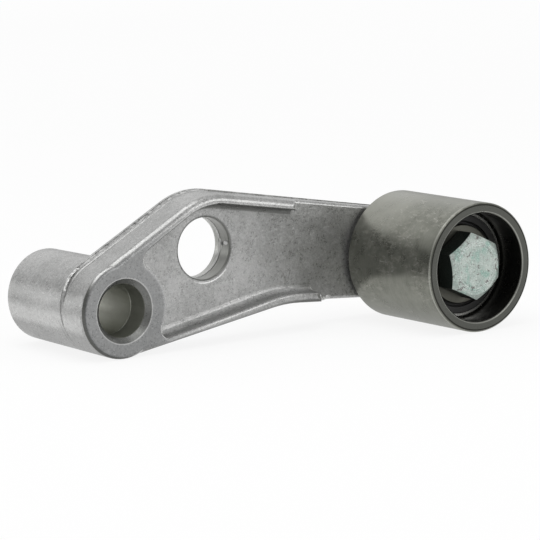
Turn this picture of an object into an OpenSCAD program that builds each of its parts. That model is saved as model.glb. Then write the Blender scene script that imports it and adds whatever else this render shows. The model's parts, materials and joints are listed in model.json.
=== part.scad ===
// Timing belt idler: a wide steel roller on a sealed double-row ball bearing, bolted to a cast
// aluminium lever that swings on a long pivot boss.
// Millimetres. The origin is where the pivot axis meets the flat back of the lever's plate, which is
// the parting plane of the casting. +X points from the pivot to the roller, +Y along the pivot boss
// to its rear end, and +Z up. The roller stands in front of the plate, towards -Y.

/* [Lever plate] */
// Distance from the pivot axis to the roller axis along X
roller_x = 98.7; // [94:0.1:112]
// Height of the roller axis over the pivot axis
roller_z = 5.15; // [4:0.05:6.5]
// Thickness of the plate behind the roller and inside the rims
plate_thickness = 7.3; // [5:0.1:10]
// Height of the rims over the plate's front face
rim_height = 5.4; // [3.5:0.1:7]
// Thickness of the rims
rim_wall = 2.8; // [2:0.1:3.2]
// Rounding of the rims' outer front edge
rim_edge_radius = 1.9; // [0.6:0.1:1.9]
// Rounding of the rims' inner front edge
rim_inner_radius = 0.6; // [0.3:0.1:0.8]
// Rounding of the rims' ends
rim_end_radius = 2; // [0.6:0.1:3]
// Fillet between the rims and the plate
floor_fillet = 2.3; // [1:0.1:2.6]
// Rounding of the plate's own front edge, beyond the rims
plate_edge_radius = 1; // [0.4:0.1:1.6]
// Place along X where the upper rim stops
upper_rim_end_x = 58; // [50:0.5:64]
// Place along X where the lower rim stops
lower_rim_end_x = 68.2; // [60:0.5:74]
// Distance that the parting bead stands out from the upper edge
bead_height = 0.5; // [0.2:0.05:1]
// Width of the parting bead, forward from the parting plane
bead_width = 1; // [0.4:0.1:1.6]

/* [Lever outline] */
// Distance of the upper edge's crest circle from the pivot axis along X
crest_x = 31.5; // [28:0.5:36]
// Height of the crest circle's centre
crest_z = 7.1; // [6:0.1:9]
// Radius of the crest
crest_radius = 22; // [20:0.5:23]
// Place along X of the waist in the lower edge
waist_x = 57.4; // [54:0.2:60]
// Height of the lower edge at the waist
waist_z = -4.75; // [-6:0.05:-4]
// Radius of the waist
waist_radius = 40; // [20:1:60]
// Radius of the round end behind the roller
end_radius = 12.9; // [12:0.1:15]

/* [Pivot boss] */
// Outer radius of the boss at its front face
boss_front_radius = 13.35; // [13:0.05:15]
// Outer radius of the boss at its rear face
boss_rear_radius = 12.95; // [12.5:0.05:14]
// Length of the boss behind the parting plane
boss_rear_length = 28.1; // [20:0.1:40]
// Rounding of the boss's front outer edge
boss_edge_radius = 1.3; // [0.3:0.1:1.5]
// Chamfer of the boss's rear outer edge
boss_rear_chamfer = 0.8; // [0.3:0.1:1.2]
// Inner radius of the pivot bush
pivot_radius = 7.5; // [6:0.05:8]
// Wall of the pivot bush
bush_wall = 1; // [0.8:0.1:1.5]
// Depth of the bush's front end behind the boss's front face
bush_depth = 8.2; // [5:0.1:10]
// Chamfer at the bush's ends
bush_chamfer = 0.3; // [0.1:0.05:0.5]
// Width of the chamfer at the boss's front mouth
mouth_chamfer = 1.55; // [0.8:0.05:2]

/* [Plate hole] */
// Place of the machined hole along X
hole_x = 30.7; // [29:0.1:33]
// Height of the machined hole
hole_z = 13.5; // [12.5:0.1:14]
// Radius of the machined hole
hole_radius = 8.75; // [6:0.05:8.8]
// Rounding of the hole's front edge
hole_edge_radius = 0.65; // [0.3:0.05:0.7]
// Depth of the fine groove in the hole, from the plate's front face
groove_depth = 5.1; // [3:0.1:5.5]
// Width of the fine groove
groove_width = 0.4; // [0.2:0.1:0.8]
// Distance that the groove goes into the hole's wall
groove_cut = 0.18; // [0.1:0.02:0.4]

/* [Roller] */
// Outer radius of the roller
roller_radius = 18.5; // [18:0.1:20]
// Length of the roller
roller_length = 37.5; // [36:0.5:44]
// Wall of the roller round its front recess and its bearing
roller_wall = 2.95; // [2.4:0.05:3.2]
// Height of the shoulder behind the bearing
shoulder_height = 0.95; // [0.6:0.05:1.2]
// Gap between the roller's rear end and the plate
roller_gap = 1.2; // [0.6:0.1:2]
// Chamfer of the roller's outer edges
roller_chamfer = 0.5; // [0.2:0.05:1]
// Chamfer of the roller's inner edges
roller_inner_chamfer = 0.35; // [0.2:0.05:0.6]

/* [Bearing] */
// Width of the bearing's outer ring
bearing_width = 19.3; // [18.5:0.1:22]
// Corner chamfer of the outer ring
ring_chamfer = 0.6; // [0.3:0.05:0.8]
// Diameter of the balls as a share of the space between the sleeve and the roller
ball_share = 0.59; // [0.54:0.01:0.61]
// Number of balls in each row
balls_per_row = 9; // [7:1:10]
// Clearance of the balls in their tracks
ball_clearance = 0.02; // [0.01:0.005:0.05]
// Distance from the balls' circle to the rings' shoulders, as a share of the ball's radius
shoulder_share = 0.57; // [0.5:0.01:0.62]
// Distance that the inner ring stands back from the outer ring's faces
inner_ring_setback = 1.1; // [0.8:0.05:1.4]

/* [Bearing seals] */
// Wall of the outer ring round its seals
ring_rim = 1.25; // [1:0.05:1.4]
// Width of the seal's raised band
band_width = 1.87; // [1.6:0.01:2]
// Thickness of the seal's raised band
seal_band = 1.45; // [1.2:0.05:1.6]
// Thickness of the seal's lip
seal_lip = 0.7; // [0.4:0.05:0.8]
// Clearance between the seal's lip and the inner ring
lip_clearance = 0.12; // [0.08:0.01:0.2]

/* [Bearing cages] */
// Radial thickness of the cages
cage_wall = 1.6; // [1.2:0.1:1.8]
// Thickness of the cage's ring beside the balls
cage_back = 0.5; // [0.4:0.05:0.7]
// Length of the cage's fingers past the centres of the balls
finger_length = 1; // [0.6:0.1:1.3]
// Clearance of the balls in the cage
pocket_clearance = 0.12; // [0.08:0.01:0.2]
// Gap between each cage and the seal beside it
cage_gap = 0.5; // [0.2:0.05:0.8]

/* [Bolt and clamp sleeve] */
// Gap between the clamp sleeve's flange and the seal's raised band
flange_gap = 1.03; // [0.6:0.01:1.2]
// Thickness of the clamp sleeve's flange
flange_thickness = 1.6; // [1.2:0.1:2]
// Wall of the clamp sleeve
sleeve_wall = 2.25; // [1.8:0.05:2.5]
// Clearance between the bolt's thread and the clamp sleeve
bolt_clearance = 0.25; // [0.1:0.05:0.5]
// Distance that the sleeve stops short of the inner ring's rear face
sleeve_setback = 0.2; // [0.1:0.05:0.5]
// Radius of the bolt's thread
thread_radius = 5; // [4:0.5:5]
// Width of the bolt's hexagon across its flats
hex_across_flats = 17; // [15:0.5:17]
// Height of the bolt's head with its washer face
head_height = 6.7; // [5:0.1:7]
// Height of the washer face under the head
washer_face = 0.4; // [0.2:0.05:0.6]
// Length of the bolt under its head
bolt_length = 35; // [30:1:36]
// Turn of the hexagon about the roller axis in degrees
hex_turn = -5; // [-30:1:30]
// Distance that the lever's stub stays inside the inner ring's outer face
stub_step = 0.4; // [0.2:0.05:1]
// Chamfer at both ends of the threaded hole
thread_chamfer = 0.8; // [0.4:0.1:1.2]

/* [Hidden] */
ball_numbers = [for (i = [1:balls_per_row]) i];
front_balls = [for (i = ball_numbers) str("front_ball_", i)];
rear_balls = [for (i = ball_numbers) str("rear_ball_", i)];

$fn = 96;
overcut = 1;
hair = 0.005;
lap = 0.05;

// Planes along Y, counted from the parting plane
plate_front = -plate_thickness;
boss_front = plate_front - rim_height;
boss_rear = boss_rear_length;
bush_front = boss_front + bush_depth;
roller_rear = plate_front - roller_gap;
roller_front = roller_rear - roller_length;
roller_middle = (roller_front + roller_rear) / 2;
outer_ring_front = roller_middle - bearing_width / 2;
outer_ring_rear = roller_middle + bearing_width / 2;
inner_ring_front = outer_ring_front + inner_ring_setback;
inner_ring_rear = outer_ring_rear - inner_ring_setback;
head_seat = inner_ring_front - flange_thickness;

// Radii that follow from the pieces that fit together
bush_outer_radius = pivot_radius + bush_wall;
seat_radius = roller_radius - roller_wall;
rear_bore_radius = seat_radius - shoulder_height;
sleeve_bore_radius = thread_radius + bolt_clearance;
inner_bore_radius = sleeve_bore_radius + sleeve_wall;
ball_radius = ball_share * (seat_radius - inner_bore_radius) / 2;
pitch_radius = (seat_radius + inner_bore_radius) / 2;
inner_shoulder_radius = pitch_radius - shoulder_share * ball_radius;
outer_shoulder_radius = pitch_radius + shoulder_share * ball_radius;
stub_radius = inner_shoulder_radius - stub_step;
seal_radius = seat_radius - ring_rim;
seal_step_radius = seal_radius - band_width;
flange_radius = seal_step_radius - flange_gap;
track_radius = 1.03 * ball_radius;
track_shift = track_radius - ball_radius - ball_clearance;
hex_corner_radius = hex_across_flats / 2 / cos(30);

// Each row of balls lies as near its seal as the cage between them allows
row_offset = bearing_width / 2 - seal_band - seal_lip - cage_gap - cage_back - pocket_clearance - ball_radius;

// Corner circles of the lever's outline, seen from the front and taken anticlockwise, each as
// [x, z, radius]. A negative radius is a hollow corner, whose centre lies outside the outline.
waist_centre_z = waist_z - waist_radius;
plate_outline = [
    [0, 0, boss_front_radius - 0.15],
    [waist_x, waist_centre_z, -waist_radius],
    [roller_x, roller_z, end_radius],
    [crest_x, crest_z, crest_radius]
];

// The bead stands out from the upper edge only, so its other circles keep inside the plate
bead_outline = [
    [-0.3, 0.6, boss_front_radius - 0.15],
    [waist_x, waist_centre_z, -waist_radius - 0.1],
    [roller_x, roller_z + bead_height / 2, end_radius - bead_height / 4],
    [crest_x, crest_z, crest_radius + bead_height]
];

// The hollow between the rims runs round the boss and on past the plate's end
pocket_boss_radius = boss_front_radius + 0.2;
upper_corner_radius = 3.2;
upper_corner_angle = 52.6;
lower_corner_radius = floor_fillet + 0.4;
lower_corner_angle = -23.8;
touch_gap = 0.002;
far_radius = 5;
past_end = roller_x + 60;
function beside_boss(radius, angle) = [
    (pocket_boss_radius + radius + touch_gap) * cos(angle),
    (pocket_boss_radius + radius + touch_gap) * sin(angle),
    radius
];
pocket_waist = [waist_x, waist_centre_z, -(waist_radius + rim_wall)];
pocket_crest = [crest_x, crest_z, crest_radius - rim_wall];
pocket_outline = [
    [0, 0, -pocket_boss_radius],
    beside_boss(lower_corner_radius, lower_corner_angle),
    pocket_waist,
    on_same_line(pocket_waist, normal_out(plate_outline, 1), 100),
    on_same_line(pocket_crest, normal_in(plate_outline, 3), -120),
    pocket_crest,
    beside_boss(upper_corner_radius, upper_corner_angle)
];

// Direction, as an angle from +X towards +Z, in which the outline's straight edge from circle a to
// circle b faces
function edge_normal(a, b) =
    atan2(b[1] - a[1], b[0] - a[0]) - acos((a[2] - b[2]) / norm([b[0] - a[0], b[1] - a[1]]));
function on_circle(c, angle) = [c[0] + c[2] * cos(angle), c[1] + c[2] * sin(angle)];
function next(outline, i) = outline[(i + 1) % len(outline)];
function previous(outline, i) = outline[(i + len(outline) - 1) % len(outline)];
function normal_in(outline, i) = edge_normal(previous(outline, i), outline[i]);
function normal_out(outline, i) = edge_normal(outline[i], next(outline, i));
function wrapped(angle) = angle - 360 * floor((angle + 180) / 360);
function turn(outline, i) = wrapped(normal_out(outline, i) - normal_in(outline, i));

// A far circle that touches the same straight line as circle c, on the side that faces the angle,
// and lies at a distance along that line
function on_same_line(c, angle, distance) = [
    c[0] + (c[2] - far_radius) * cos(angle) - distance * sin(angle),
    c[1] + (c[2] - far_radius) * sin(angle) + distance * cos(angle),
    far_radius
];

// Turns a flat outline in X and Z into a slab between two planes along Y
module slab(from, to) {
    translate([0, to, 0])
        rotate([90, 0, 0])
            linear_extrude(to - from)
                children();
}

// Anything turned about an axis parallel to Y, from a section of radius against Y
module turned(x = 0, z = 0) {
    translate([x, 0, z])
        rotate([-90, 0, 0])
            rotate_extrude()
                children();
}

// A straight round hole or rod along Y
module rod(radius, from, to, x = 0, z = 0) {
    translate([x, from, z])
        rotate([-90, 0, 0])
            cylinder(r = radius, h = to - from);
}

// The flat shape inside an outline of corner circles. Each curve stands half a hair out from the
// straight edges that it joins, so that it ends clearly on them.
module outline_shape(outline) {
    corners = [
        for (i = [0:len(outline) - 1])
            each [on_circle(outline[i], normal_in(outline, i)), on_circle(outline[i], normal_out(outline, i))]
    ];
    difference() {
        union() {
            polygon(corners);
            for (i = [0:len(outline) - 1])
                if (outline[i][2] > 0)
                    corner_segment(outline, i);
        }
        for (i = [0:len(outline) - 1])
            if (outline[i][2] < 0)
                corner_circle(outline[i]);
    }
}

module corner_circle(c) {
    translate([c[0], c[1]])
        circle(r = abs(c[2] + hair / 2));
}

// The part of a full corner's circle that lies outside the straight line between its ends
module corner_segment(outline, i) {
    c = outline[i];
    middle = normal_in(outline, i) + turn(outline, i) / 2;
    reach = 1.5 * c[2];
    start = on_circle(c, normal_in(outline, i));
    end = on_circle(c, normal_out(outline, i));
    intersection() {
        corner_circle(c);
        polygon([
            start,
            start + reach * [cos(middle), sin(middle)],
            end + reach * [cos(middle), sin(middle)],
            end
        ]);
    }
}

// Sweeps a small section along straight edges of an outline. The section's x is the distance
// outwards from the outline, and its y is the place along Y. Edge i follows corner i.
module along_edges(outline, numbers) {
    for (i = numbers) {
        facing = normal_out(outline, i);
        start = on_circle(outline[i], facing);
        end = on_circle(next(outline, i), facing);
        translate([start[0], 0, start[1]])
            rotate([0, -facing, 0])
                linear_extrude(norm(end - start))
                    children();
    }
}

// Sweeps the same kind of section round corners of an outline. Each sweep laps a little over its
// neighbours, whose sections differ from it by a hair, so that no two pieces share an end face.
module along_corners(outline, numbers) {
    for (i = numbers) {
        c = outline[i];
        hollow = c[2] < 0;
        lap_angle = lap / abs(c[2]) * 180 / PI;
        sweep = abs(turn(outline, i)) + 2 * lap_angle;
        last = normal_in(outline, i) + (hollow ? 180 : abs(turn(outline, i))) + lap_angle;
        translate([c[0], 0, c[1]])
            rotate([-90, 0, 0])
                rotate([0, 0, -last])
                    rotate_extrude(angle = sweep)
                        translate([abs(c[2]), 0])
                            mirror([hollow ? 1 : 0, 0])
                                children();
    }
}

// Section that rounds an outer edge: what is cut away where a wall at x = 0 meets a face at y. The
// curve is set out by a gap, so that it crosses the wall and the face and doesn't only touch them.
module edge_cut(radius, y, gap) {
    difference() {
        translate([-radius, y - overcut])
            square([radius + overcut, radius + overcut]);
        translate([gap - radius, y + radius - gap])
            circle(r = radius);
    }
}

// Section that rounds the edge of a hollow, whose wall is at x = 0 and whose mouth is at y
module mouth_cut(radius, y, gap) {
    difference() {
        translate([-overcut, y - overcut])
            square([radius + overcut, radius + overcut]);
        translate([radius - gap, y + radius - gap])
            circle(r = radius);
    }
}

// Section of the fillet at the foot of a hollow's wall at x = 0, whose floor is at y. The curve is
// taken in short straight steps, because it turns tighter round the corners than its own radius.
module foot_fill(radius, y, gap) {
    step = 15;
    behind = overcut / 4;
    curve = [
        for (t = [0:step:90])
            [radius * (cos(t) - 1) + gap, y + radius * (sin(t) - 1) + gap]
    ];
    polygon(concat(curve, [[gap - radius, y + behind], [behind, y + behind], [behind, y + gap - radius]]));
}

// The slanted line where the rims stop, from under the lower rim to over the upper one. It passes
// through both rims' ends.
rim_top = crest_z + crest_radius;
rim_slant = (lower_rim_end_x - upper_rim_end_x) / (rim_top - waist_z);
rim_end_line = [
    [lower_rim_end_x + 10 * rim_slant, waist_z - 10, 0],
    [upper_rim_end_x - 10 * rim_slant, rim_top + 10, 0]
];

// Everything beyond that line, from well in front of the plate back to behind it
module beyond_rims() {
    slab(boss_front - 2 * overcut, overcut)
        polygon([
            [rim_end_line[1][0], rim_end_line[1][1]],
            [rim_end_line[0][0], rim_end_line[0][1]],
            [past_end, rim_end_line[0][1]],
            [past_end, rim_end_line[1][1]]
        ]);
}

// The plate with its rounded front edge
module plate() {
    difference() {
        difference() {
            slab(plate_front, 0)
                outline_shape(plate_outline);
            along_edges(plate_outline, [1, 2])
                edge_cut(plate_edge_radius, plate_front, hair);
        }
        along_corners(plate_outline, [1, 2])
            edge_cut(plate_edge_radius, plate_front, 2 * hair);
    }
}

// The hollow between the rims, with a fillet round its foot
module pocket() {
    difference() {
        difference() {
            slab(boss_front - overcut, plate_front)
                outline_shape(pocket_outline);
            along_edges(pocket_outline, [1, 2, 4, 5])
                foot_fill(floor_fillet, plate_front, hair);
            along_corners(pocket_outline, [0])
                foot_fill(floor_fillet, plate_front, 3 * hair);
        }
        along_corners(pocket_outline, [1, 2, 5, 6])
            foot_fill(floor_fillet, plate_front, 2 * hair);
    }
}

// The rims with their outer edges rounded, and the plate's left part that they stand on
module rim_block() {
    difference() {
        difference() {
            slab(boss_front, 0)
                outline_shape(plate_outline);
            along_edges(plate_outline, [0, 1, 2, 3])
                edge_cut(rim_edge_radius, boss_front, hair);
        }
        along_corners(plate_outline, [0, 1, 3])
            edge_cut(rim_edge_radius, boss_front, 2 * hair);
    }
}

// The hollow, with the rims' inner edges rounded round its mouth
module hollowed_rims() {
    difference() {
        difference() {
            difference() {
                rim_block();
                pocket();
            }
            along_edges(pocket_outline, [1, 2, 4, 5])
                mouth_cut(rim_inner_radius, boss_front, hair);
        }
        along_corners(pocket_outline, [1, 2, 5, 6])
            mouth_cut(rim_inner_radius, boss_front, 2 * hair);
    }
}

module rims() {
    difference() {
        difference() {
            hollowed_rims();
            beyond_rims();
        }
        along_edges(rim_end_line, [0])
            edge_cut(rim_end_radius, boss_front, hair);
    }
}

// The long pivot boss, with a rounded front edge and a chamfered rear edge
module boss_blank() {
    e = boss_edge_radius;
    turned()
        union() {
            polygon([
                [0, boss_front],
                [boss_front_radius - e, boss_front],
                [boss_front_radius, boss_front + e],
                [boss_rear_radius, boss_rear - boss_rear_chamfer],
                [boss_rear_radius - boss_rear_chamfer, boss_rear],
                [0, boss_rear]
            ]);
            translate([boss_front_radius - e, boss_front + e])
                intersection() {
                    circle(r = e);
                    translate([0, -e])
                        square(e);
                }
        }
}

// The stub that reaches into the roller and carries the bearing's inner ring
module roller_stub() {
    foot = 1.2;
    turned(roller_x, roller_z)
        polygon([
            [0, inner_ring_rear],
            [stub_radius - 0.5, inner_ring_rear],
            [stub_radius, inner_ring_rear + 0.5],
            [stub_radius, plate_front - foot],
            [stub_radius + foot, plate_front],
            [stub_radius + foot, plate_front + overcut],
            [0, plate_front + overcut]
        ]);
}

// The stepped hole through the boss: chamfered mouth, plain bore and the bush's seat
module pivot_bore() {
    turned()
        polygon([
            [0, boss_front - overcut],
            [pivot_radius + mouth_chamfer + overcut, boss_front - overcut],
            [pivot_radius, boss_front + mouth_chamfer],
            [pivot_radius, bush_front],
            [bush_outer_radius, bush_front],
            [bush_outer_radius, boss_rear + overcut],
            [0, boss_rear + overcut]
        ]);
}

// The machined hole in the plate, with a rounded front edge and a fine groove
module plate_hole() {
    e = hole_edge_radius;
    groove_front = plate_front + groove_depth;
    rod(hole_radius, plate_front - overcut, overcut, hole_x, hole_z);
    rod(hole_radius + groove_cut, groove_front, groove_front + groove_width, hole_x, hole_z);
    turned(hole_x, hole_z)
        difference() {
            translate([hole_radius - e, plate_front - overcut])
                square([2 * e, e + overcut]);
            translate([hole_radius + e, plate_front + e])
                circle(r = e);
        }
}

// The threaded hole for the roller's bolt, with a chamfer at each end
module bolt_hole() {
    c = thread_chamfer;
    turned(roller_x, roller_z)
        polygon([
            [0, inner_ring_rear - overcut],
            [thread_radius + c + overcut, inner_ring_rear - overcut],
            [thread_radius, inner_ring_rear + c],
            [thread_radius, -c],
            [thread_radius + c + overcut, overcut],
            [0, overcut]
        ]);
}

module lever_arm() {
    color("silver")
        difference() {
            union() {
                plate();
                rims();
                boss_blank();
                slab(-bead_width, 0)
                    outline_shape(bead_outline);
                roller_stub();
            }
            pivot_bore();
            plate_hole();
            bolt_hole();
        }
}

// Thin bush pressed into the boss from behind
module pivot_bush() {
    c = bush_chamfer;
    color("lightgray")
        turned()
            polygon([
                [pivot_radius + c, bush_front],
                [bush_outer_radius - c, bush_front],
                [bush_outer_radius, bush_front + c],
                [bush_outer_radius, boss_rear - c],
                [bush_outer_radius - c, boss_rear],
                [pivot_radius + c, boss_rear],
                [pivot_radius, boss_rear - c],
                [pivot_radius, bush_front + c]
            ]);
}

// Steel sleeve that the belt runs on, with a deep recess in front and a shoulder behind the bearing
module roller_shell() {
    c = roller_chamfer;
    d = roller_inner_chamfer;
    color("darkolivegreen")
        turned(roller_x, roller_z)
            polygon([
                [seat_radius + d, roller_front],
                [roller_radius - c, roller_front],
                [roller_radius, roller_front + c],
                [roller_radius, roller_rear - c],
                [roller_radius - c, roller_rear],
                [rear_bore_radius + d, roller_rear],
                [rear_bore_radius, roller_rear - d],
                [rear_bore_radius, outer_ring_rear],
                [seat_radius, outer_ring_rear],
                [seat_radius, roller_front + d]
            ]);
}

// Places the section of one ball track in each row
module both_tracks(radius) {
    for (side = [-1, 1])
        translate([radius, roller_middle + side * row_offset])
            circle(r = track_radius);
}

module bearing_outer_ring() {
    c = ring_chamfer;
    color("gray")
        turned(roller_x, roller_z)
            difference() {
                polygon([
                    [seal_radius, outer_ring_front],
                    [seat_radius - c, outer_ring_front],
                    [seat_radius, outer_ring_front + c],
                    [seat_radius, outer_ring_rear - c],
                    [seat_radius - c, outer_ring_rear],
                    [seal_radius, outer_ring_rear],
                    [seal_radius, outer_ring_rear - seal_band],
                    [outer_shoulder_radius, outer_ring_rear - seal_band],
                    [outer_shoulder_radius, outer_ring_front + seal_band],
                    [seal_radius, outer_ring_front + seal_band]
                ]);
                both_tracks(pitch_radius - track_shift);
            }
}

module bearing_inner_ring() {
    c = 0.3;
    color("gray")
        turned(roller_x, roller_z)
            difference() {
                polygon([
                    [inner_bore_radius + c, inner_ring_front],
                    [inner_shoulder_radius - c, inner_ring_front],
                    [inner_shoulder_radius, inner_ring_front + c],
                    [inner_shoulder_radius, inner_ring_rear - c],
                    [inner_shoulder_radius - c, inner_ring_rear],
                    [inner_bore_radius + c, inner_ring_rear],
                    [inner_bore_radius, inner_ring_rear - c],
                    [inner_bore_radius, inner_ring_front + c]
                ]);
                both_tracks(pitch_radius + track_shift);
            }
}

// Section of a seal at the front end of the bearing
module seal_section() {
    face = outer_ring_front;
    step = face + seal_band;
    lip_radius = inner_shoulder_radius + lip_clearance;
    land = outer_shoulder_radius - 0.05;
    polygon([
        [seal_step_radius, face],
        [seal_radius - 0.2, face],
        [seal_radius, face + 0.2],
        [seal_radius, step],
        [land, step],
        [land, step + seal_lip],
        [lip_radius, step + seal_lip],
        [lip_radius, step],
        [seal_step_radius - 0.4, step],
        [seal_step_radius, step - 0.4]
    ]);
}

// Mirrors a piece from the front row to the rear row
module to_rear() {
    translate([0, 2 * roller_middle, 0])
        mirror([0, 1, 0])
            children();
}

module front_seal() {
    color("dimgray")
        turned(roller_x, roller_z)
            seal_section();
}

module rear_seal() {
    color("dimgray")
        to_rear()
            turned(roller_x, roller_z)
                seal_section();
}

row_y = roller_middle - row_offset;
function ball_angle(i) = 360 * (i - 1) / balls_per_row;

// Centre of one ball of the front row
module at_front_ball(i) {
    translate([
        roller_x + pitch_radius * cos(ball_angle(i)),
        row_y,
        roller_z + pitch_radius * sin(ball_angle(i))
    ])
        children();
}

// Turns the rear row by half the ball spacing
module rear_row() {
    translate([roller_x, 0, roller_z])
        rotate([0, 180 / balls_per_row, 0])
            translate([-roller_x, 0, -roller_z])
                to_rear()
                    children();
}

// Crown cage: a ring beside the balls, whose fingers reach between them
module cage() {
    pocket_radius = ball_radius + pocket_clearance;
    inner = pitch_radius - cage_wall / 2;
    difference() {
        turned(roller_x, roller_z)
            translate([inner, row_y - pocket_radius - cage_back])
                square([cage_wall, cage_back + pocket_radius + finger_length]);
        for (i = ball_numbers)
            translate([roller_x, row_y, roller_z])
                rotate([0, 90 - ball_angle(i), 0])
                    translate([0, 0, inner - overcut])
                        cylinder(r = pocket_radius, h = cage_wall + 2 * overcut);
    }
}

module front_cage() {
    color("saddlebrown")
        cage();
}

module rear_cage() {
    color("saddlebrown")
        rear_row()
            cage();
}

module front_ball(i) {
    color("lightsteelblue")
        at_front_ball(i)
            sphere(r = ball_radius);
}

module rear_ball(i) {
    color("lightsteelblue")
        rear_row()
            at_front_ball(i)
                sphere(r = ball_radius);
}

// Sleeve through the inner ring, whose flange carries the bolt's head
module clamp_sleeve() {
    edge = 0.3;
    rear = inner_ring_rear - sleeve_setback;
    color("rosybrown")
        turned(roller_x, roller_z)
            polygon([
                [sleeve_bore_radius, head_seat],
                [flange_radius - edge, head_seat],
                [flange_radius, head_seat + edge],
                [flange_radius, inner_ring_front],
                [inner_bore_radius, inner_ring_front],
                [inner_bore_radius, rear],
                [sleeve_bore_radius, rear]
            ]);
}

// Hexagon bolt, with the chamfer turned on its head and a washer face under it
module roller_bolt() {
    head_front = head_seat - head_height;
    tip = head_seat + bolt_length;
    top_radius = 0.95 * hex_across_flats / 2;
    slope = tan(30);
    color("darkseagreen")
        union() {
            intersection() {
                translate([roller_x, head_front, roller_z])
                    rotate([-90, 0, 0])
                        rotate([0, 0, -90 + hex_turn])
                            cylinder(r = hex_corner_radius, h = head_height - washer_face, $fn = 6);
                turned(roller_x, roller_z)
                    polygon([
                        [0, head_front],
                        [top_radius, head_front],
                        [top_radius + 3, head_front + 3 * slope],
                        [top_radius + 3, head_seat],
                        [0, head_seat]
                    ]);
            }
            rod(top_radius, head_seat - washer_face, head_seat, roller_x, roller_z);
            turned(roller_x, roller_z)
                polygon([
                    [0, head_seat - washer_face],
                    [thread_radius, head_seat - washer_face],
                    [thread_radius, tip - 1],
                    [thread_radius - 1, tip],
                    [0, tip]
                ]);
        }
}

lever_arm();
pivot_bush();
roller_shell();
bearing_outer_ring();
bearing_inner_ring();
front_seal();
rear_seal();
front_cage();
rear_cage();
clamp_sleeve();
roller_bolt();
for (i = ball_numbers) {
    front_ball(i);
    rear_ball(i);
}
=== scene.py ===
# %% [markdown]
# # A timing belt idler on its lever
# This part is a wide steel roller on a cast aluminium lever. Its solids come from a CAD model and
# load as a fixed frame. This file gives them their finishes, adds the small things that a casting
# and a used bolt carry, and sets up a camera, a floor and soft light.

# %% Load the frame
import json
import math
from types import SimpleNamespace
import bpy
from mathutils import Matrix, Vector


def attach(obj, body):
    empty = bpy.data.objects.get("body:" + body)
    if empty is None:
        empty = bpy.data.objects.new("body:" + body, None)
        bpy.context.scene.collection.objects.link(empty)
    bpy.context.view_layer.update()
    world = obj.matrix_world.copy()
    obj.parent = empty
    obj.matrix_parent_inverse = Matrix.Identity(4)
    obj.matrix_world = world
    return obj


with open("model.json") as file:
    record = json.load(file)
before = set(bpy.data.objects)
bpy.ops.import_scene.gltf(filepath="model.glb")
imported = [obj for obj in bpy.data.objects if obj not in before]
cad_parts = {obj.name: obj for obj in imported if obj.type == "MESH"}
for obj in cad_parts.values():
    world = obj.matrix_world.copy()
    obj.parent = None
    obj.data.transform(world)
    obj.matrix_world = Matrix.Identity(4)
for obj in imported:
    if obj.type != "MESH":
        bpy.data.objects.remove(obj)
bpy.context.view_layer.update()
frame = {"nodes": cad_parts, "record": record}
nodes = frame["nodes"]
print("nodes:", len(nodes))

# %% [markdown]
# ## The part's own sizes
# Finishes and added details have to sit where the solids are, so the main places are written down
# once, in millimetres. The pivot axis and the roller axis both run along Y, and the pivot axis
# passes through the origin. Blender works in metres, so lengths are multiplied by MM where they
# are handed to it.

# %% Sizes
MM = 0.001
PIVOT = (0.0, 0.0)                          # x and z of each axis that runs along Y
ROLLER = (98.7, 5.15)
HOLE, HOLE_RADIUS = (30.7, 13.5), 8.75
BOSS_FRONT, PLATE_FRONT, HEAD_FRONT = -12.7, -7.3, -44.1
print("pivot axis at", PIVOT, "roller axis at", ROLLER, "hole axis at", HOLE)

# %% [markdown]
# ## The camera
# The camera's place was found by fitting the roller, the boss and the long edges to the
# photograph. It stands far back with a long lens, so the part is drawn almost without perspective.
# Two angles and a small roll give its directions.

# %% Camera
CAMERA_PLACE = Vector((-0.439851, -0.684912, 0.138436))
AZIMUTH, ELEVATION, ROLL = (math.radians(a) for a in (36.0408, 9.0509, -1.1638))
LENS, SENSOR = 198.866, 36.0

level_right = Vector((math.cos(AZIMUTH), -math.sin(AZIMUTH), 0))
forward = Vector((math.sin(AZIMUTH) * math.cos(ELEVATION),
                  math.cos(AZIMUTH) * math.cos(ELEVATION), -math.sin(ELEVATION)))
level_up = level_right.cross(forward)
right = math.cos(ROLL) * level_right + math.sin(ROLL) * level_up
up = math.cos(ROLL) * level_up - math.sin(ROLL) * level_right
turned = Matrix((right, up, -forward)).transposed().to_4x4()

camera_data = bpy.data.cameras.new("camera")
camera_data.lens = LENS
camera_data.sensor_width = SENSOR
camera_data.clip_start = 0.01
camera_data.clip_end = 50
camera = bpy.data.objects.new("camera", camera_data)
bpy.context.scene.collection.objects.link(camera)
camera.matrix_world = Matrix.Translation(CAMERA_PLACE) @ turned
bpy.context.scene.camera = camera
bpy.context.scene.view_settings.view_transform = "Standard"
print("camera distance:", round(CAMERA_PLACE.length, 3), "m")

# %% [markdown]
# ## Shader maths in Python
# A finish is a small formula over the surface, such as grey plus a little noise. Blender stores
# it as nodes and links. This class wraps one output socket, so the formula can be written with
# plain signs and the nodes appear by themselves.


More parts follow.
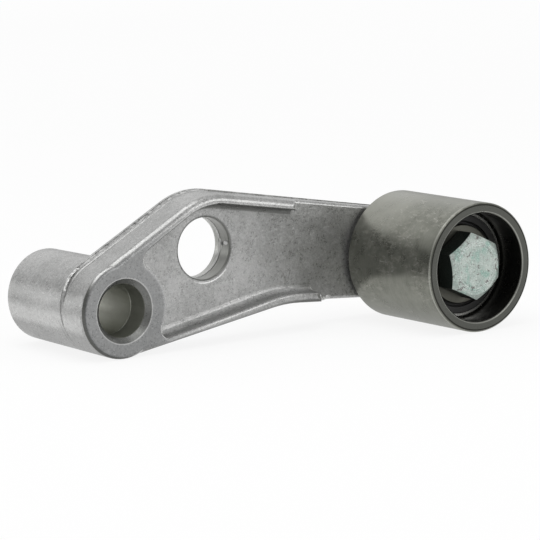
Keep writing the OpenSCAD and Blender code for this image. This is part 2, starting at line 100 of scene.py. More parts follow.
# %% A socket that does maths
class Wire:
    """An output socket of a shader node."""

    def __init__(self, tree, socket=None):
        self.tree = tree
        self.socket = socket

    def make(self, kind, settings, inputs, output=0):
        """Adds a node of a type, gives it its settings and inputs, and returns one output."""
        node = self.tree.nodes.new(kind)
        for name, value in settings.items():
            setattr(node, name, value)
        for name, value in inputs.items():
            if isinstance(value, Wire):
                self.tree.links.new(value.socket, node.inputs[name])
            else:
                node.inputs[name].default_value = value
        return Wire(self.tree, node.outputs[output])

    def maths(self, operation, *values):
        return self.make("ShaderNodeMath", {"operation": operation}, dict(enumerate(values)))

    def __add__(self, other):
        return self.maths("ADD", self, other)

    def __radd__(self, other):
        return self.maths("ADD", other, self)

    def __sub__(self, other):
        return self.maths("SUBTRACT", self, other)

    def __rsub__(self, other):
        return self.maths("SUBTRACT", other, self)

    def __mul__(self, other):
        return self.maths("MULTIPLY", self, other)

    def __rmul__(self, other):
        return self.maths("MULTIPLY", other, self)

    def __truediv__(self, other):
        return self.maths("DIVIDE", self, other)

    def __pow__(self, other):
        return self.maths("POWER", self, other)

    def __abs__(self):
        return self.maths("ABSOLUTE", self)

    def larger(self, other):
        return self.maths("MAXIMUM", self, other)

    def rises(self, low, high):
        """0 below low, 1 above high, and a smooth step between. With low over high it falls."""
        if low > high:
            return 1 - self.rises(high, low)
        return self.make("ShaderNodeMapRange", {"interpolation_type": "SMOOTHSTEP"},
                         {"Value": self, "From Min": low, "From Max": high})


# %% [markdown]
# ## Helpers for every finish
# All patterns read Object coordinates, which here are the frame's own, turned into millimetres.
# The first helpers say where a point is: its three coordinates, its distance from an axis, or
# whether it is close to a spot. Turned and bored faces are found by that distance.


# %% Where a point is
def start(material_name):
    """A new material, its shader, and the place on the surface in millimetres."""
    material = bpy.data.materials.new(material_name)
    material.use_nodes = True
    tree = material.node_tree
    metres = Wire(tree).make("ShaderNodeTexCoord", {}, {}, output="Object")
    place = metres.make("ShaderNodeVectorMath", {"operation": "MULTIPLY"},
                        {0: metres, 1: [1 / MM] * 3})
    return material, tree.nodes["Principled BSDF"], place


def axes(vector):
    """The x, y and z of a vector."""
    return [vector.make("ShaderNodeSeparateXYZ", {}, {0: vector}, output=i) for i in range(3)]


def radius_from(x, z, axis):
    """The distance from an axis that runs along Y."""
    return ((x - axis[0]) ** 2 + (z - axis[1]) ** 2) ** 0.5


def spot(place, centre, inner, outer):
    """1 within the inner distance of a point, and 0 past the outer one."""
    distance = place.make("ShaderNodeVectorMath", {"operation": "DISTANCE"},
                          {0: place, 1: centre}, output="Value")
    return distance.rises(outer, inner)


def near(value, middle, inner, outer):
    """1 where a value is close to a middle one, and 0 farther off on both sides."""
    return abs(value - middle).rises(outer, inner)


# %% [markdown]
# The other helpers give a pattern. Noise has lumps about as wide as its size. Painted shade goes
# into hollow corners and a brighter colour onto outer edges, and the Ambient Occlusion node finds
# both, because it measures how much of the part itself is close by, outside the surface or inside
# it.


# %% Patterns
def noise(place, size, detail=2.0, rough=0.5, stretch=(1, 1, 1)):
    """Cloudy noise from 0 to 1. More stretch along an axis makes the lumps shorter there."""
    scaled = place.make("ShaderNodeVectorMath", {"operation": "MULTIPLY"},
                        {0: place, 1: [s / size for s in stretch]})
    return place.make("ShaderNodeTexNoise", {"noise_dimensions": "3D"},
                      {"Vector": scaled, "Scale": 1.0, "Detail": detail, "Roughness": rough})


def closed_in(place, reach, inside):
    """1 in a corner and 0 on open ground: hollow corners, or outer edges when seen from inside."""
    settings = {"samples": 8, "inside": inside, "only_local": True}
    openness = place.make("ShaderNodeAmbientOcclusion", settings, {"Distance": reach * MM},
                          output="AO")
    return 1 - openness


def blend(mask, first, second):
    """The first colour where the mask is 0 and the second where it is 1."""
    colours = [c if isinstance(c, Wire) else [*c, 1] for c in (first, second)]
    return mask.make("ShaderNodeMix", {"data_type": "RGBA"},
                     {0: mask, 6: colours[0], 7: colours[1]}, output=2)


def finish_surface(shader, colour, roughness, metallic, height, depth):
    """Links colour, roughness and a bump of some depth to the shader. Metallic is a number."""
    bump = height.make("ShaderNodeBump", {},
                       {"Height": height, "Distance": depth * MM, "Strength": 1.0})
    for name, wire in (("Base Color", colour), ("Roughness", roughness), ("Normal", bump)):
        wire.tree.links.new(wire.socket, shader.inputs[name])
    shader.inputs["Metallic"].default_value = metallic


# %% [markdown]
# ## Cast aluminium
# The lever is a die casting that was tumbled after casting, and then bored and faced. One
# material does all of it, and masks pick out the faces. The parts of its finish share the same
# places, directions and noises, so they are made once and kept together.

# %% What the casting's finish is made from
BORE_RADIUS = 7.5


def casting_patterns(place):
    """Coordinates, the direction a face looks in, noises of four sizes, and the main masks."""
    p = SimpleNamespace(place=place)
    p.x, p.y, p.z = axes(place)
    p.facing_x, p.facing_y, p.facing_z = axes(
        place.make("ShaderNodeTexCoord", {}, {}, output="Normal"))
    p.boss_radius = radius_from(p.x, p.z, PIVOT)
    p.hole_radius = radius_from(p.x, p.z, HOLE)
    p.clouds = noise(place, 14, 3)
    p.blotches = noise(place, 3.2, 3, 0.6)
    p.grain = noise(place, 0.85, 3, 0.75)
    p.fine = noise(place, 0.32, 2, 0.7)

    # lumps drawn out along X and Z and squeezed along Y lie round a bore as rings
    p.tool_rings = noise(place, 0.5, 2, 0.5, stretch=(0.05, 2.0, 0.05))
    p.edges = closed_in(place, 1.2, True).rises(0.10, 0.40) * p.y.rises(-3.0, -3.6)
    p.in_hole = p.hole_radius.rises(HOLE_RADIUS + 0.35, HOLE_RADIUS + 0.25)
    p.in_bore = p.boss_radius.rises(BORE_RADIUS + 0.06, BORE_RADIUS + 0.03)
    return p


# %% [markdown]
# ### Its skin
# The skin is a matt, cloudy grey. Clouds, blotches and two sizes of grain are added up, and the
# sum chooses between two greys. Faint pits and bright grains follow. Low on its left the boss gets
# a painted highlight, a paler band which the direction of the surface picks out.

# %% The casting's skin
SKIN_DARK, SKIN_LIGHT = (0.245, 0.247, 0.242), (0.505, 0.505, 0.50)
# The last grey here is for a painted highlight, a paler band low on the left of the boss.
PIT_GREY, GRAIN_GREY, HIGHLIGHT_BAND_GREY = (0.13, 0.13, 0.125), (0.80, 0.80, 0.79), (0.85, 0.85, 0.84)
HIGHLIGHT_BAND_SLOPE = -0.20                          # how far down the middle of the band faces


def cast_skin(p):
    tone = ((p.clouds - 0.5) * 0.5 + (p.blotches - 0.5) * 0.4 + (p.grain - 0.5) * 0.85
            + (p.fine - 0.5) + 0.48)
    skin = blend(tone.larger(0.33).rises(0.1, 0.9), SKIN_DARK, SKIN_LIGHT)
    pits = noise(p.place, 1.2, 3, 0.75).rises(0.67, 0.75)
    skin = blend(pits * 0.05, skin, PIT_GREY)
    bright_grains = noise(p.place, 0.6, 2, 0.7).rises(0.60, 0.68)
    skin = blend(bright_grains * 0.30, skin, GRAIN_GREY)
    # Painted highlight: a paler band low on the boss's left, picked out by the direction of the
    # surface.
    highlight_band = near(p.facing_z / (0.2 - p.facing_x), HIGHLIGHT_BAND_SLOPE, 0.06, 0.26)
    highlight_band = highlight_band * p.facing_x.rises(-0.5, -0.8) * p.y.rises(-11.0, -10.5)
    return blend(highlight_band * (0.12 + p.grain * 0.5), skin, HIGHLIGHT_BAND_GREY)


# %% [markdown]
# ### Marks along its seam
# The two halves of the die met near the plate's back edge. On the boss that leaves two thin dark
# lines. Above, where the flash was broken off, there are dark dots and pale patches, and beside
# the boss a groove. All of them wander a little, so noise is added to y before it is compared.

# %% Marks along the seam
SEAM_Y, SECOND_LINE_Y, GROOVE_Y = -1.3, 0.2, -2.3
GROOVE_MIDDLE = (-9.0, -2.3, 9.5)
TORN_PALE, TORN_DARK = (0.72, 0.72, 0.71), (0.08, 0.08, 0.075)
LINE_GREY, GROOVE_GREY = (0.10, 0.10, 0.095), (0.07, 0.07, 0.065)


def seam_marks(p, skin):
    """The skin with the seam's marks on it, and the mask of the lines for the bump."""
    wandering_y = p.y + (noise(p.place, 5, 2) - 0.5) * 0.5
    on_boss = p.boss_radius.rises(13.7, 13.5) * p.x.rises(1, -3) * p.z.rises(5, 2)
    first_line = near(wandering_y, SEAM_Y, 0.03, 0.13)
    second_line = near(wandering_y, SECOND_LINE_Y, 0.02, 0.12)
    lines = first_line.larger(second_line) * on_boss
    strip = near(wandering_y, SEAM_Y, 0.5, 1.0) * p.z.rises(9, 11)
    dots = strip * noise(p.place, 0.9, 2, 0.6).rises(0.56, 0.64)
    patches = strip * noise(p.place, 2.4, 2, 0.6).rises(0.52, 0.62)
    groove = near(wandering_y, GROOVE_Y, 0.04, 0.17) * spot(p.place, GROOVE_MIDDLE, 5, 7.5)
    skin = blend(patches * 0.6, skin, TORN_PALE)
    skin = blend(dots * 0.8, skin, TORN_DARK)
    skin = blend(lines * 0.75, skin, LINE_GREY)
    return blend(groove * 0.7, skin, GROOVE_GREY), lines


# %% [markdown]
# ### Painted shade in its hollows, and its edges
# Hollow corners get painted shade. So do the underside of the upper rim and, most of all, the
# rounding at the lower left of the boss. Outer edges in front are brighter, partly from wear by
# tumbling and partly as a painted highlight. The grain keeps that brightness uneven.

# %% Painted shade in hollows, and edges
# Greys of painted shade: in corners, in the pocket, under the upper rim and on the boss's low
# rounding.
CORNER_SHADE_GREY, HOLLOW_SHADE_GREY = (0.13, 0.132, 0.125), (0.10, 0.102, 0.095)
RIM_SHADOW_GREY, BOSS_ROUNDING_SHADE_GREY = (0.07, 0.072, 0.065), (0.06, 0.062, 0.055)
# A pale grey for outer edges in front: wear and a painted highlight.
EDGE_HIGHLIGHT_AND_WEAR_GREY = (0.74, 0.74, 0.73)


def painted_shade_and_edges(p, skin):
    # Painted shade in hollow corners, found by ambient occlusion.
    corners = closed_in(p.place, 1.6, False).rises(0.12, 0.5)
    skin = blend(corners * 0.6, skin, CORNER_SHADE_GREY)

    # Painted shadow under the upper rim, on faces that look downwards.
    between_plate_and_front = p.y.rises(PLATE_FRONT - 0.03, PLATE_FRONT - 0.2) * p.y.rises(
        BOSS_FRONT - 0.05, BOSS_FRONT + 0.2)
    rim_shadow = p.facing_z.rises(-0.05, -0.45) * p.z.rises(9, 13) * between_plate_and_front
    skin = blend(rim_shadow * 0.75, skin, RIM_SHADOW_GREY)
    # Painted shade in the pocket near the foot of the upper rim.
    hollow_shade = closed_in(p.place, 4.0, False).rises(0.15, 0.45)
    hollow_shade = hollow_shade * p.z.rises(12, 18) * p.y.rises(-6.0, -6.8)
    skin = blend(hollow_shade * 0.45, skin, HOLLOW_SHADE_GREY)

    # Painted shade and dark reflection on the rounding at the lower left of the boss.
    faces_low_left = (p.facing_x * -0.85 + p.facing_z * -0.50).rises(0.10, 0.42)
    on_rounding = near(p.facing_y, -0.60, 0.26, 0.38) * p.y.rises(-11.0, -11.3)
    boss_rounding_shade = faces_low_left * on_rounding
    skin = blend(boss_rounding_shade * p.boss_radius.rises(11.0, 11.4) * 0.85, skin, BOSS_ROUNDING_SHADE_GREY)
    # Outer edges in front: partly wear from tumbling, partly a painted highlight.
    edge_highlight_and_wear = p.edges * (1 - boss_rounding_shade) * (1 - rim_shadow) * (0.25 + p.grain * 0.9)
    return blend(edge_highlight_and_wear, skin, EDGE_HIGHLIGHT_AND_WEAR_GREY)


# %% [markdown]
# ### The wall of the hole in the plate
# The hole was cast with a thin ring of flash inside. Behind the flash it was cut to size, and
# there it is bright with fine rings. In front it is as it was cast. A line of painted shade follows
# the flash. Beside the drop of metal the line bulges forward and has a small notch of painted
# shade.

# %% Wall of the plate's hole
CAST_WALL = (0.20, 0.205, 0.19), (0.31, 0.31, 0.295)
CUT_WALL = (0.28, 0.29, 0.27), (0.64, 0.64, 0.62)
FLASH_LINE_Y = -2.78
BULGE_MIDDLE, NOTCH_MIDDLE = (39.4, -2.6, 13.2), (39.30, -3.5, 13.6)
FLASH_SHADE_GREY, NOTCH_SHADE_GREY = (0.04, 0.04, 0.038), (0.02, 0.02, 0.02)


def hole_wall(p):
    rings = p.tool_rings.rises(0.3, 0.7)
    bulging_y = p.y + spot(p.place, BULGE_MIDDLE, 0.6, 2.6) * 0.7
    behind_flash = bulging_y.rises(-2.75, -2.60)
    wall = blend(behind_flash, blend(rings, *CAST_WALL), blend(rings, *CUT_WALL))
    # Painted shade in a line along the flash, with a dark notch beside the drop.
    wall = blend(near(bulging_y, FLASH_LINE_Y, 0.05, 0.20) * 0.85, wall, FLASH_SHADE_GREY)
    return blend(spot(p.place, NOTCH_MIDDLE, 0.35, 0.8) * 0.9, wall, NOTCH_SHADE_GREY)


# %% [markdown]
# ### Its machined faces
# The ring in front of the boss was faced and has gone darker than the skin. Its edge towards the
# pocket has a painted highlight, and the edge of the chamfered mouth is bright. The hole in the
# plate has painted shade on its rounding and, low on its rim, a painted highlight in an arc. Down
# the bore the metal is dull and darker, partly its own as-cast tone and partly painted shade.

# %% Machined faces
# Colours of painted shade and painted highlight for the hole's rounding and the ring's edge.
HOLE_ROUNDING_SHADE_GREY, HIGHLIGHT_WHITE = (0.11, 0.112, 0.108), (0.95, 0.95, 0.94)
HIGHLIGHT_ARC_MIDDLE, RING_GREY = (33.4, -7.3, 4.1), (0.12, 0.125, 0.13)
MOUTH_RADIUS, MOUTH_GREY, MOUTH_EDGE = 9.1, (0.10, 0.103, 0.095), (0.62, 0.62, 0.61)
BORE_TONE_AND_SHADE_GREYS = (0.19, 0.195, 0.165), (0.30, 0.305, 0.265)


def machined_faces(p, colour):
    plate_side = p.y.rises(-6.4, -6.8)
    # Painted shade on the rounding of the hole's front edge.
    hole_rounding_shade = near(p.hole_radius, HOLE_RADIUS + 0.45, 0.15, 0.35) * plate_side
    colour = blend(hole_rounding_shade * 0.55, colour, HOLE_ROUNDING_SHADE_GREY)
    # Painted highlight in an arc low on the hole's rim.
    highlight_arc = near(p.hole_radius, HOLE_RADIUS + 1.0, 0.10, 0.28) * spot(p.place, HIGHLIGHT_ARC_MIDDLE, 3.0, 7.5)
    colour = blend(highlight_arc * (0.3 + p.grain * 0.9) * plate_side, colour, HIGHLIGHT_WHITE)

    ring = p.boss_radius.rises(30, 12) * p.y.rises(BOSS_FRONT + 0.5, BOSS_FRONT + 0.1)
    colour = blend(ring * 0.45, colour, RING_GREY)
    # Painted highlight along the ring's edge towards the pocket.
    pocket_edge_highlight = p.facing_x.rises(0.10, 0.35) * p.facing_y.rises(-0.3, -0.6)
    pocket_edge_highlight = pocket_edge_highlight * p.boss_radius.rises(17, 15) * p.y.rises(-11.6, -12.0)
    colour = blend(pocket_edge_highlight * (0.35 + p.grain * 0.9), colour, HIGHLIGHT_WHITE)

    by_front = p.y.rises(BOSS_FRONT + 2.2, BOSS_FRONT + 1.8)
    mouth = p.boss_radius.rises(MOUTH_RADIUS, MOUTH_RADIUS - 0.1) * by_front
    colour = blend(mouth * 0.75, colour, MOUTH_GREY)
    mouth_edge = near(p.boss_radius, MOUTH_RADIUS, 0.08, 0.25) * by_front
    colour = blend(mouth_edge * 0.5, colour, MOUTH_EDGE)
    # Down the bore the grey is darker: its own as-cast tone with painted shade.
    return blend(p.in_bore, colour, blend(p.blotches, *BORE_TONE_AND_SHADE_GREYS))


# %% [markdown]
# ### The casting's material
# Now the parts are laid over one another into one colour. The wall of the plate's hole shines more
# evenly than the skin, and the bore is rougher. The skin's blotches and grain also raise a low
# bump, and the seam's lines are cut into it. The metal is dull, so it is not fully metallic.


# %% Cast aluminium material
def cast_aluminium():
    material, shader, place = start("cast_aluminium")
    p = casting_patterns(place)
    skin, lines = seam_marks(p, cast_skin(p))
    skin = painted_shade_and_edges(p, skin)
    colour = machined_faces(p, blend(p.in_hole, skin, hole_wall(p)))

    rough = 0.31 + (p.blotches - 0.5) * 0.15 + (p.grain - 0.5) * 0.3 - p.edges * 0.06
    rough = rough * (1 - p.in_hole) + p.in_hole * (0.26 + p.tool_rings * 0.1)
    rough = rough * (1 - p.in_bore) + p.in_bore * 0.5
    as_cast = p.grain * 0.5 + p.fine * 0.25 + p.blotches * 1.2 - lines * 0.8
    height = as_cast * (1 - p.in_hole) * (1 - p.in_bore) + p.tool_rings * p.in_hole * 0.4
    finish_surface(shader, colour, rough, metallic=0.72, height=height, depth=0.08)
    return material


finishes = {"cast_aluminium": cast_aluminium()}
print("cast aluminium:", len(finishes["cast_aluminium"].node_tree.nodes), "shader nodes")

# %% [markdown]
# ## Ground steel
# The roller's sleeve is ground and then darkened. The belt and hands leave pale scuffs round it,
# with fine scratches, and one place at its upper left has a painted highlight, a paler patch. The
# grinding lines run round the roller, so their noise is squeezed along Y. The recess and the front
# face are darker, with a dark line and two bright edges where they were turned.

# %% Ground steel material
ROLLER_RADIUS, RECESS_RADIUS, ROLLER_FRONT = 18.5, 15.55, -46.0
STEEL_GREYS = (0.175, 0.180, 0.153), (0.262, 0.267, 0.233)
GRINDING_GREY, SCUFF_GREY = (0.12, 0.122, 0.105), (0.38, 0.375, 0.335)
SCRATCH_GREY = (0.55, 0.55, 0.51)
# Where and how pale the painted highlight at the roller's upper left is.
HIGHLIGHT_PATCH_MIDDLE, HIGHLIGHT_PATCH_GREY = (90, -16, 20), (0.40, 0.40, 0.36)
FRONT_GREYS = (0.085, 0.087, 0.078), (0.105, 0.107, 0.097)
RECESS_GREY, TURNED_LINE = (0.05, 0.05, 0.045), (0.015, 0.015, 0.012)
TURNED_EDGE = (0.42, 0.425, 0.39)


def ground_steel():
    material, shader, place = start("ground_steel")
    x, y, z = axes(place)
    radius = radius_from(x, z, ROLLER)
    clouds = noise(place, 11, 3, 0.6)
    smudges = noise(place, 5, 4, 0.68)
    lines = noise(place, 4, 2, 0.6, stretch=(1, 14, 1))
    rubbed = noise(place, 1.8, 5, 0.8, stretch=(1.3, 0.7, 1.3)).rises(0.48, 0.60)
    scuffs = rubbed * noise(place, 13, 2).rises(0.42, 0.54)
    streaks = noise(place, 6, 2, 0.5, stretch=(1.5, 0.6, 1.5))
    scratches = near(streaks, 0.5, 0.003, 0.010) * scuffs
    # Painted highlight: a paler patch at the roller's upper left.
    highlight_patch = spot(place, HIGHLIGHT_PATCH_MIDDLE, 5, 17)

    tone = (clouds * 0.4 + smudges * 0.6).rises(0.32, 0.68)
    colour = blend(tone, *STEEL_GREYS)
    colour = blend(lines.rises(0.45, 0.7) * 0.25, colour, GRINDING_GREY)
    colour = blend(highlight_patch * (0.25 + smudges * 0.35), colour, HIGHLIGHT_PATCH_GREY)
    colour = blend(scuffs * 0.5, colour, SCUFF_GREY)
    colour = blend(scratches * 0.7, colour, SCRATCH_GREY)

    front_face = y.rises(ROLLER_FRONT + 0.25, ROLLER_FRONT + 0.05)
    colour = blend(front_face, colour, blend(noise(place, 0.5, 2), *FRONT_GREYS))
    recess = radius.rises(RECESS_RADIUS + 0.2, RECESS_RADIUS + 0.1)
    colour = blend(recess, colour, RECESS_GREY)
    by_front = y.rises(ROLLER_FRONT + 1.1, ROLLER_FRONT + 0.9)
    turned_line = near(radius, ROLLER_RADIUS - 0.65, 0.10, 0.28) * by_front
    colour = blend(turned_line * 0.85, colour, TURNED_LINE)
    outer_edge = near(radius, ROLLER_RADIUS - 0.05, 0.05, 0.16)
    outer_edge = outer_edge * near(y, ROLLER_FRONT + 0.5, 0.1, 0.35)
    inner_edge = near(radius, RECESS_RADIUS + 0.3, 0.08, 0.2) * by_front
    colour = blend(outer_edge.larger(inner_edge) * 0.6, colour, TURNED_EDGE)

    rough = 0.30 + (clouds - 0.5) * 0.16 + (smudges - 0.5) * 0.25 + scuffs * 0.12
    height = lines * 0.5 + clouds * 0.3 + scuffs * 0.3 - scratches * 0.3
    finish_surface(shader, colour, rough, metallic=0.95, height=height, depth=0.02)
    return material


finishes["ground_steel"] = ground_steel()
print("ground steel:", len(finishes["ground_steel"].node_tree.nodes), "shader nodes")

# %% [markdown]
# ## Coated bolt
# The bolt has a flake coating, a pale grey with a green cast. Dark specks and stains show where
# the coating is thin, and two thin rings on the head carry a painted highlight. The flats of the
# head stand in the dark recess and are painted nearly black, as painted shade and dark reflection.
# They are found as what lies behind the chamfer's cone.

# %% Coated bolt material
COATING_GREYS = (0.33, 0.40, 0.365), (0.48, 0.54, 0.50)
# The last colour here is a painted highlight for two rings on the head.
GREEN_CAST, FLAKE_GREY, RING_HIGHLIGHT = (0.20, 0.37, 0.31), (0.78, 0.82, 0.79), (0.88, 0.92, 0.90)
SPECK_BROWN, STAIN_BROWN = (0.20, 0.17, 0.165), (0.11, 0.085, 0.085)
CHAMFER_START, CHAMFER_ANGLE = 8.07, math.radians(30)
# The black is painted shade and dark reflection on the flats of the head.
FLATS_END, FLATS_SHADE_BLACK = -37.2, (0.012, 0.02, 0.016)


def coated_bolt():
    material, shader, place = start("coated_bolt")
    x, y, z = axes(place)
    radius = radius_from(x, z, ROLLER)
    clouds = noise(place, 3.2, 3, 0.6)
    flakes = noise(place, 0.45, 2, 0.7)
    patches = noise(place, 4.5, 2, 0.6)
    specks = noise(place, 0.75, 3, 0.7).rises(0.55, 0.66)
    stains = noise(place, 1.6, 3, 0.7).rises(0.58, 0.68)

    colour = blend(clouds.rises(0.3, 0.7), *COATING_GREYS)
    colour = blend(patches.rises(0.50, 0.64) * 0.6, colour, GREEN_CAST)
    colour = blend(flakes.rises(0.48, 0.74) * 0.65, colour, FLAKE_GREY)
    colour = blend(specks * 0.6, colour, SPECK_BROWN)
    # Painted highlight on two thin rings of the head.
    rings = near(radius, 6.95, 0.05, 0.22).larger(near(radius, 6.2, 0.04, 0.18))
    colour = blend(rings * flakes.rises(0.3, 0.6) * 0.7, colour, RING_HIGHLIGHT)
    colour = blend(stains * 0.8, colour, STAIN_BROWN)

    # Painted shade: the flats of the head, in the dark recess, are nearly black.
    chamfer = HEAD_FRONT + (radius - CHAMFER_START).larger(0.0) * math.tan(CHAMFER_ANGLE)
    flats_shade = (y - chamfer).rises(0.03, 0.15) * y.rises(FLATS_END + 0.4, FLATS_END)
    colour = blend(flats_shade * 0.93, colour, FLATS_SHADE_BLACK)

    rough = 0.42 + (flakes - 0.5) * 0.4
    height = flakes * 0.8 + clouds * 0.8 - stains * 0.5
    finish_surface(shader, colour, rough, metallic=0.45, height=height, depth=0.16)
    return material


finishes["coated_bolt"] = coated_bolt()
print("coated bolt:", len(finishes["coated_bolt"].node_tree.nodes), "shader nodes")

# %% [markdown]
# ## Plainer finishes
# The bush, the bearing's rings and balls and the clamp sleeve share one kind of finish: metal with
# fine marks from a tool, in different greys. The seals and the cages share another: a moulding
# with a fine grain. A torn edge is metal that was broken off, so bright grains stand between dark
# gaps. A function makes each kind from two colours.


# %% Plainer finishes
def turned_steel(name, dark, light, roughness, metallic=0.9):
    material, shader, place = start(name)
    clouds = noise(place, 5, 2)
    marks = noise(place, 0.8, 2, 0.6, stretch=(1, 6, 1))
    colour = blend(clouds * 0.5 + marks * 0.5, dark, light)
    rough = roughness + (marks - 0.5) * 0.15
    finish_surface(shader, colour, rough, metallic, height=marks, depth=0.02)
    return material


def moulded(name, dark, light, roughness):
    material, shader, place = start(name)
    clouds = noise(place, 4, 2)
    grain = noise(place, 0.3, 2)
    colour = blend(clouds * 0.6 + grain * 0.4, dark, light)
    rough = roughness + (grain - 0.5) * 0.2
    finish_surface(shader, colour, rough, metallic=0.0, height=grain, depth=0.03)
    return material


def torn(name, dark, light):
    material, shader, place = start(name)
    grains = noise(place, 0.7, 3, 0.7)
    colour = blend(grains.rises(0.36, 0.60), dark, light)
    rough = 0.35 + grains * 0.2
    finish_surface(shader, colour, rough, metallic=0.5, height=grains, depth=0.10)
    return material


# %% [markdown]
# ## Which piece wears which finish
# The record gives each node of the CAD model a slot, and here each slot gets its finish. The last
# four finishes are for the small pieces that this file adds to the casting.

# %% Give every node its finish
finishes |= {
    "bush_steel": turned_steel("bush_steel", (0.27, 0.275, 0.24), (0.42, 0.425, 0.38), 0.36),
    "bearing_steel": turned_steel("bearing_steel", (0.28, 0.28, 0.27), (0.42, 0.42, 0.40), 0.25),
    "sleeve_steel": turned_steel("sleeve_steel", (0.07, 0.07, 0.058), (0.14, 0.14, 0.12), 0.38),
    "ball_steel": turned_steel("ball_steel", (0.60, 0.60, 0.60), (0.72, 0.72, 0.72), 0.12, 1.0),
    "seal_rubber": moulded("seal_rubber", (0.012, 0.012, 0.012), (0.03, 0.03, 0.028), 0.5),
    "cage_nylon": moulded("cage_nylon", (0.25, 0.15, 0.08), (0.36, 0.23, 0.13), 0.5),
    "torn_aluminium": turned_steel("torn_aluminium", (0.55, 0.55, 0.54), (0.92, 0.92, 0.91),
                                   0.42, 0.6),
    "bright_drop": turned_steel("bright_drop", (0.80, 0.80, 0.79), (0.95, 0.95, 0.94), 0.45, 0.3),
    "torn_ridge": torn("torn_ridge", (0.30, 0.30, 0.29), (0.96, 0.96, 0.95)),
    "thread_metal": turned_steel("thread_metal", (0.30, 0.30, 0.29), (0.48, 0.48, 0.47), 0.35),
}
slot_of = {entry["node"]: entry["material_slot"] for entry in frame["record"]["subparts"]}
for name, node in nodes.items():
    node.data.materials.clear()
    node.data.materials.append(finishes[slot_of[name]])
print("finishes:", len(finishes))

# %% [markdown]
# ## Sweeping a section
# Banks, ridges and flash are long and thin, so each is one flat section that is carried along a
# path. The section is a circle with few sides, pressed flat and then turned about Y, so its plane
# always holds that axis. Spin carries it round an arc and Extrude along a straight line. Then every
# point moves a little at random, because metal that was torn or squeezed out is never even.


# %% Helpers for pieces that are swept
def on_arc(centre, radius, angle, y):
    """A point on a circle that faces along Y, at an angle from +X towards +Z."""
    turn = math.radians(angle)
    return Vector((centre[0] + radius * math.cos(turn), y, centre[1] + radius * math.sin(turn)))


def begin_shaping(name):
    """Names the new primitive and selects all of it in edit mode."""
    piece = bpy.context.object
    piece.name = name
    bpy.ops.object.mode_set(mode="EDIT")
    bpy.ops.mesh.select_all(action="SELECT")
    return piece


def section(name, middle, angle, sides, width, thickness, slope=0.0):
    """A flat section at a place. Its plane holds the Y axis and the direction at an angle."""
    bpy.ops.object.select_all(action="DESELECT")
    bpy.ops.mesh.primitive_circle_add(vertices=sides, radius=1, fill_type="NGON",
                                      location=(0, 0, 0))
    piece = begin_shaping(name)
    bpy.ops.transform.resize(value=(thickness / 2 * MM, width / 2 * MM, 1))
    for turn, axis in ((slope, "Z"), (angle, "Y")):
        bpy.ops.transform.rotate(value=math.radians(turn), orient_axis=axis,
                                 center_override=(0, 0, 0))
    bpy.ops.transform.translate(value=[c * MM for c in middle])
    return piece


def carry_round(centre, angle, steps):
    """Spins the section about an axis along Y. A positive angle goes from +X towards +Z."""
    bpy.ops.mesh.spin(steps=steps, angle=math.radians(angle), axis=(0, 1, 0),
                      center=(centre[0] * MM, 0, centre[1] * MM))


# %% [markdown]
# Most pieces end the same way: doubled points are merged, all points are shaken, and the faces are
# turned outwards and smoothed. Every piece gets a finish and rides on the lever.


# %% Helpers that finish a piece
def dress(piece, finish):
    """Gives a shaped piece its finish and its body, and prints where it lies."""
    piece.data.materials.append(finishes[finish])
    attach(piece, "lever")
    corners = [v.co for v in piece.data.vertices]
    low = [round(min(c[i] for c in corners) / MM, 2) for i in range(3)]
    high = [round(max(c[i] for c in corners) / MM, 2) for i in range(3)]
    print(piece.name, len(piece.data.polygons), "faces from", low, "to", high)


def roughen(piece, seed, unevenness, finish):
    """Merges the doubles of a piece of the casting, shakes and smooths it, and dresses it."""
    bpy.ops.mesh.select_all(action="SELECT")
    bpy.ops.mesh.remove_doubles(threshold=0.002 * MM)
    bpy.ops.transform.vertex_random(offset=unevenness * MM, seed=seed)
    bpy.ops.mesh.normals_make_consistent(inside=False)
    bpy.ops.object.mode_set(mode="OBJECT")
    bpy.ops.object.shade_smooth()
    dress(piece, finish)


# %% [markdown]
# ## The bank along the seam
# The solid has a sharp step where the two halves of the die met. On the real casting the metal
# there was never cut clean, and the step is a soft, uneven bank. A flat eight-sided section turns
# round the boss, runs up the straight edge and turns again over the crest.

# %% Bank along the seam
SEAM_BOSS, SEAM_BOSS_RADIUS = (-0.3, 0.6), 13.2
SEAM_CREST, SEAM_CREST_RADIUS = (31.5, 7.1), 22.5
SEAM_FROM, SEAM_TANGENT, SEAM_TO = 195, 118.2, 82
BANK_Y, BANK_SINK = -1.95, 0.40
ARC_STEPS, LINE_STEPS = 60, 90

bank = section("seam_bank", on_arc(SEAM_BOSS, SEAM_BOSS_RADIUS - BANK_SINK, SEAM_FROM, BANK_Y),
               SEAM_FROM, sides=8, width=2.5, thickness=0.30, slope=13)
carry_round(SEAM_BOSS, SEAM_TANGENT - SEAM_FROM, ARC_STEPS)
along = (on_arc(SEAM_CREST, SEAM_CREST_RADIUS, SEAM_TANGENT, 0)
         - on_arc(SEAM_BOSS, SEAM_BOSS_RADIUS, SEAM_TANGENT, 0))
for step in range(LINE_STEPS):
    bpy.ops.mesh.extrude_region_move(TRANSFORM_OT_translate={"value": along * MM / LINE_STEPS})
carry_round(SEAM_CREST, SEAM_TO - SEAM_TANGENT, ARC_STEPS)
roughen(bank, seed=3, unevenness=0.05, finish="cast_aluminium")

# %% [markdown]
# ## The torn ridge beside the boss
# Where the flash was broken off beside the boss it left a bright, torn ridge. It is a thicker
# section whose points are thrown about much more. It turns about a centre of its own, on a tighter
# arc than the seam's, so that both of its ends sink into the casting.

# %% Torn ridge
RIDGE_CENTRE, RIDGE_RADIUS, RIDGE_Y = (-4.31, 3.91), 8.06, -1.45
RIDGE_FROM, RIDGE_TURN = 167.5, -54

